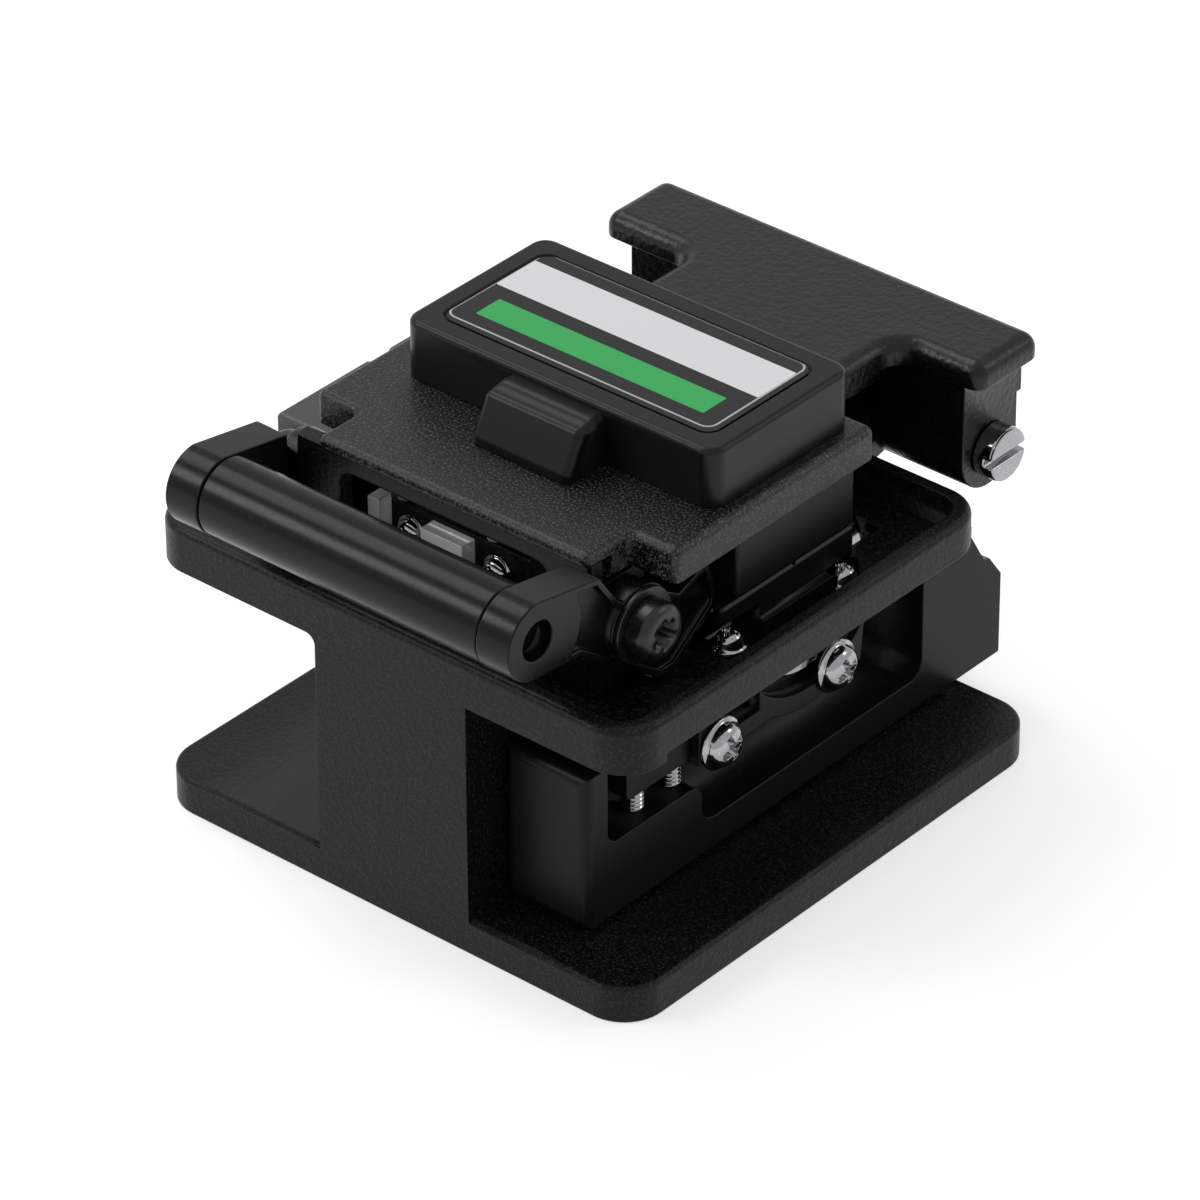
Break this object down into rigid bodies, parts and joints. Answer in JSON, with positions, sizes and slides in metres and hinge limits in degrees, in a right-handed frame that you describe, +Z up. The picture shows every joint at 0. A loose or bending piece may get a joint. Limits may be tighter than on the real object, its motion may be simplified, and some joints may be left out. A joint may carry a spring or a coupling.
{
  "type": "fibre cleaver",
  "caption": "Bench cleaver for optical fibre: cast body with a clamp tray, a hinged lid, a front press bail and a sliding carriage that carries a round blade.",
  "frame": {"origin": "middle of the tool's footprint on the face it stands on, with the carriage at its rear stop", "axes": "+X right along the fibre, +Y back to the lid hinge along the carriage's travel, +Z up"},
  "size_m": [0.067, 0.0838, 0.057],
  "materials": {
    "powder_black": "black powder coat, satin, fine speckle",
    "textured_black": "black powder coat with a coarse sparkle",
    "leather_black": "black textured coat like fine leather",
    "grey_metal": "smooth grey anodised",
    "anodised_black": "smooth dark anodised",
    "gloss_black": "glossy black",
    "moulded_black": "satin moulded",
    "label_face": "printed face with a pale band and a green stripe",
    "bright_screws": "polished",
    "dark_screws": "black oxide",
    "ground_steel": "ground",
    "carbide": "lapped",
    "hard_rubber": "matte",
    "anvil_tip": "ground",
    "magnet_nickel": "nickel plated"
  },
  "bodies": {
    "frame": {"cast_body": "powder_black", "front_bracket": "powder_black", "fibre_stop_bar": "ground_steel", "stop_bar_screws": "bright_screws", "fibre_holder_seat": "grey_metal", "lower_clamp_left": "anodised_black", "lower_clamp_right": "anodised_black", "lower_pad_left": "hard_rubber", "lower_pad_right": "hard_rubber", "latch_magnet": "magnet_nickel", "tray_screws": "bright_screws", "hinge_axle": "ground_steel", "hinge_nut": "ground_steel", "slide_rail": "ground_steel", "slide_rail_screws": "bright_screws", "travel_stop_pin": "ground_steel", "bail_pivot_screws": "dark_screws", "bail_washers": "dark_screws", "bail_springs": "ground_steel"},
    "lid": {"rear_lever": "leather_black", "lid_plate": "textured_black", "label_cover": "moulded_black", "label_plate": "label_face", "upper_clamp_left": "anodised_black", "upper_clamp_right": "anodised_black", "upper_pad_left": "hard_rubber", "upper_pad_right": "hard_rubber", "lid_screws": "bright_screws"},
    "anvil": {"anvil": "anvil_tip"},
    "bail": {"bail_bar": "gloss_black", "left_arm": "gloss_black", "right_arm": "gloss_black", "bar_screws": "dark_screws"},
    "carriage": {"carriage_frame": "powder_black", "slide_block": "ground_steel", "slide_block_screws": "bright_screws", "blade_arm": "powder_black", "blade_arm_pin": "ground_steel", "blade_holder": "powder_black", "blade_holder_screws": "bright_screws", "height_set_screws": "ground_steel", "disc_screw": "ground_steel"},
    "blade": {"blade_disc": "carbide"}
  },
  "joints": [
    {"name": "carriage_slide", "type": "slide", "parent": "frame", "child": "carriage", "axis": [0, 1, 0], "range_m": [-0.016, 0]},
    {"name": "blade_turn", "type": "hinge", "parent": "carriage", "child": "blade", "pos_m": [0.022, 0.00865, 0.0288], "axis": [1, 0, 0], "continuous": true},
    {"name": "lid_hinge", "type": "hinge", "parent": "frame", "child": "lid", "pos_m": [0.0041, 0.03345, 0.0371], "axis": [-1, 0, 0], "range_deg": [0, 80]},
    {"name": "anvil_travel", "type": "slide", "parent": "lid", "child": "anvil", "axis": [0, 0, 1], "range_m": [0, 0.0006], "stiffness_N_per_m": 400, "springref_m": -0.0005},
    {"name": "bail_press", "type": "hinge", "parent": "frame", "child": "bail", "pos_m": [0.0015, -0.02155, 0.0412], "axis": [1, 0, 0], "range_deg": [0, 12], "stiffness_Nm_per_rad": 0.05, "springref_deg": -22.92}
  ]
}
